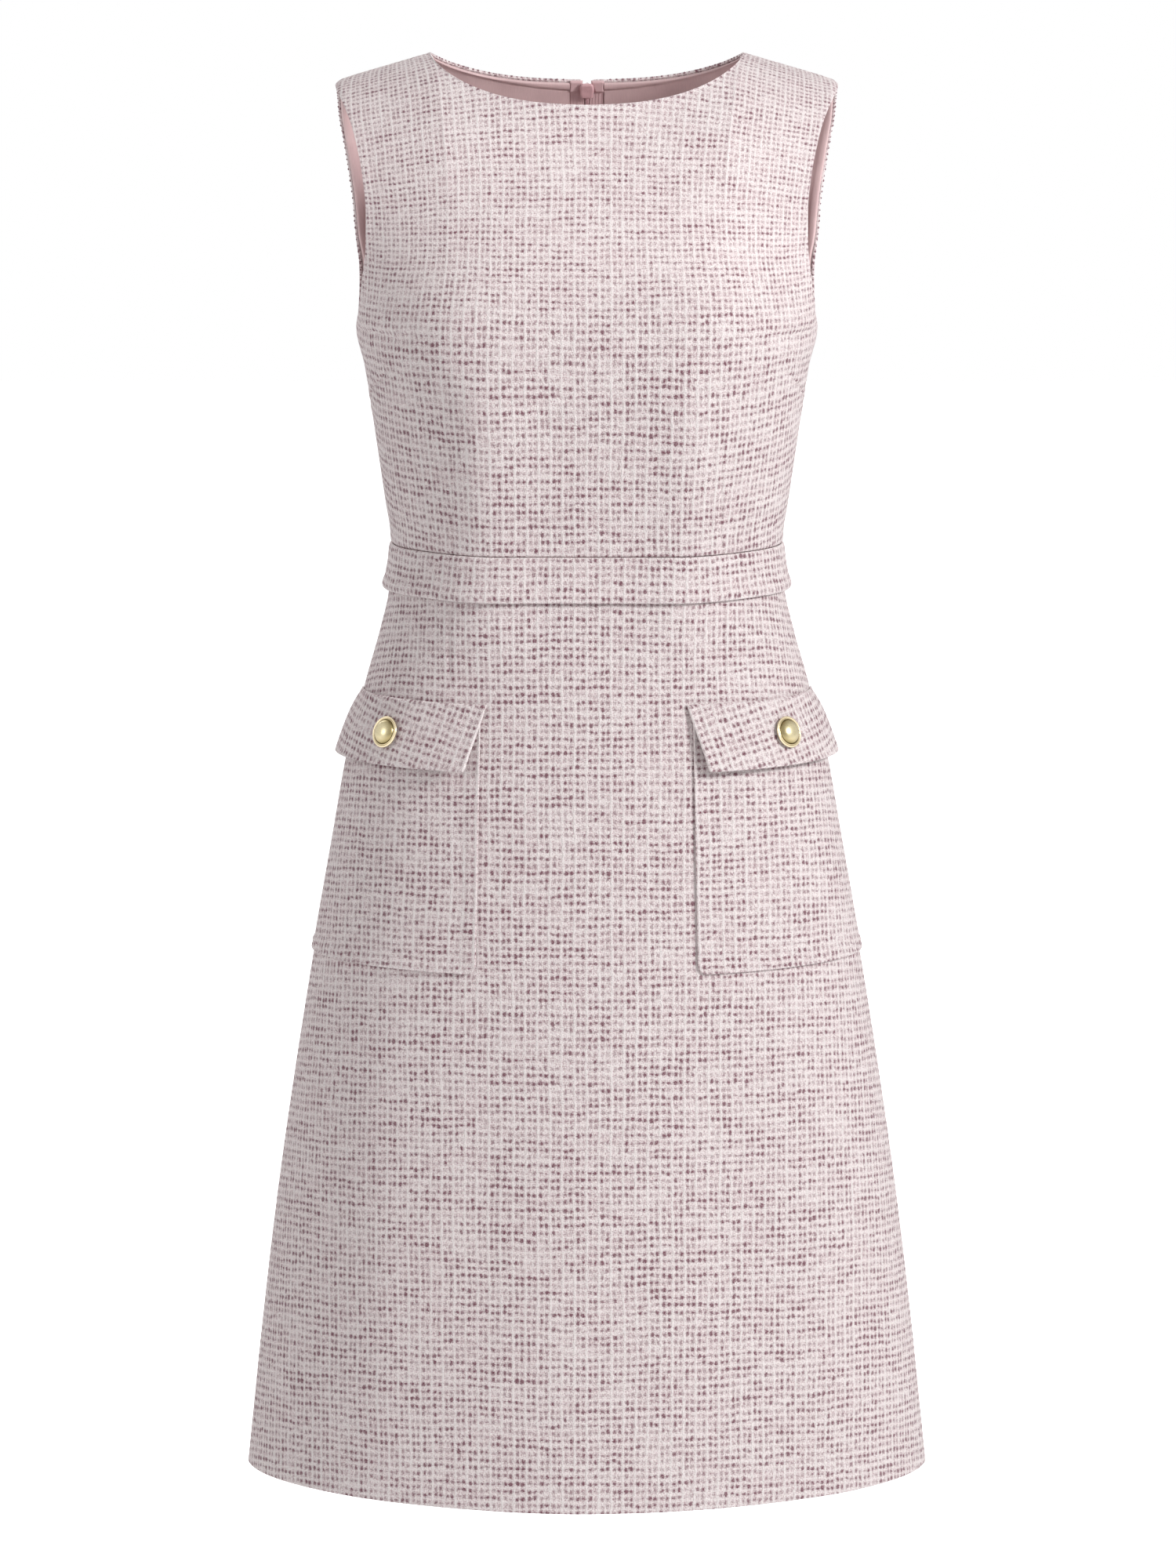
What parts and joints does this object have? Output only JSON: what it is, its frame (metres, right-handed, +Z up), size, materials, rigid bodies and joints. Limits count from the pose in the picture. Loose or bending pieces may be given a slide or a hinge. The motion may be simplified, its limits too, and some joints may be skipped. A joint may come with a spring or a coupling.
{
  "type": "sheath dress",
  "caption": "Sleeveless A-line sheath dress in checked tweed: boat neck, waistband, flapped patch pockets with domed buttons, centre back zip, worn shape, hollow",
  "frame": {"origin": "midway between the two points where the shoulder seams meet the neckline, where the wearer's shoulders carry the dress", "axes": "+Z up, -Y the way the wearer faces, +X the wearer's left"},
  "size_m": [0.478, 0.3155, 0.9911],
  "materials": {
    "tweed": "soft matte, slubby cream and mauve tweed with a small open check",
    "lining": "dusty mauve satin-faced lining with a soft sheen",
    "zip_tape": "matte woven tape and coil in mauve",
    "zip_slider": "satin lacquer in mauve",
    "button": "polished pale gold, domed, with a fine corded rim"
  },
  "bodies": {
    "dress": {"bodice_front": "tweed", "bodice_back_left": "tweed", "bodice_back_right": "tweed", "waistband_front": "tweed", "waistband_back_left": "tweed", "waistband_back_right": "tweed", "skirt_front": "tweed", "skirt_back_left": "tweed", "skirt_back_right": "tweed", "pocket_patch_left": "tweed", "pocket_patch_right": "tweed", "pocket_flap_left": "tweed", "pocket_flap_right": "tweed", "lining_front": "lining", "lining_back_left": "lining", "lining_back_right": "lining", "zip_tape_left": "zip_tape", "zip_tape_right": "zip_tape", "zip_chain": "zip_tape", "zip_slider": "zip_slider", "flap_button_left": "button", "flap_button_right": "button"},
    "zip_pull": {"zip_pull": "zip_slider"}
  },
  "joints": [
    {"name": "zip_pull_swing", "type": "hinge", "parent": "dress", "child": "zip_pull", "pos_m": [0, 0.05848, -0.02645], "axis": [1, 0, 0], "range_deg": [0, 165]}
  ]
}
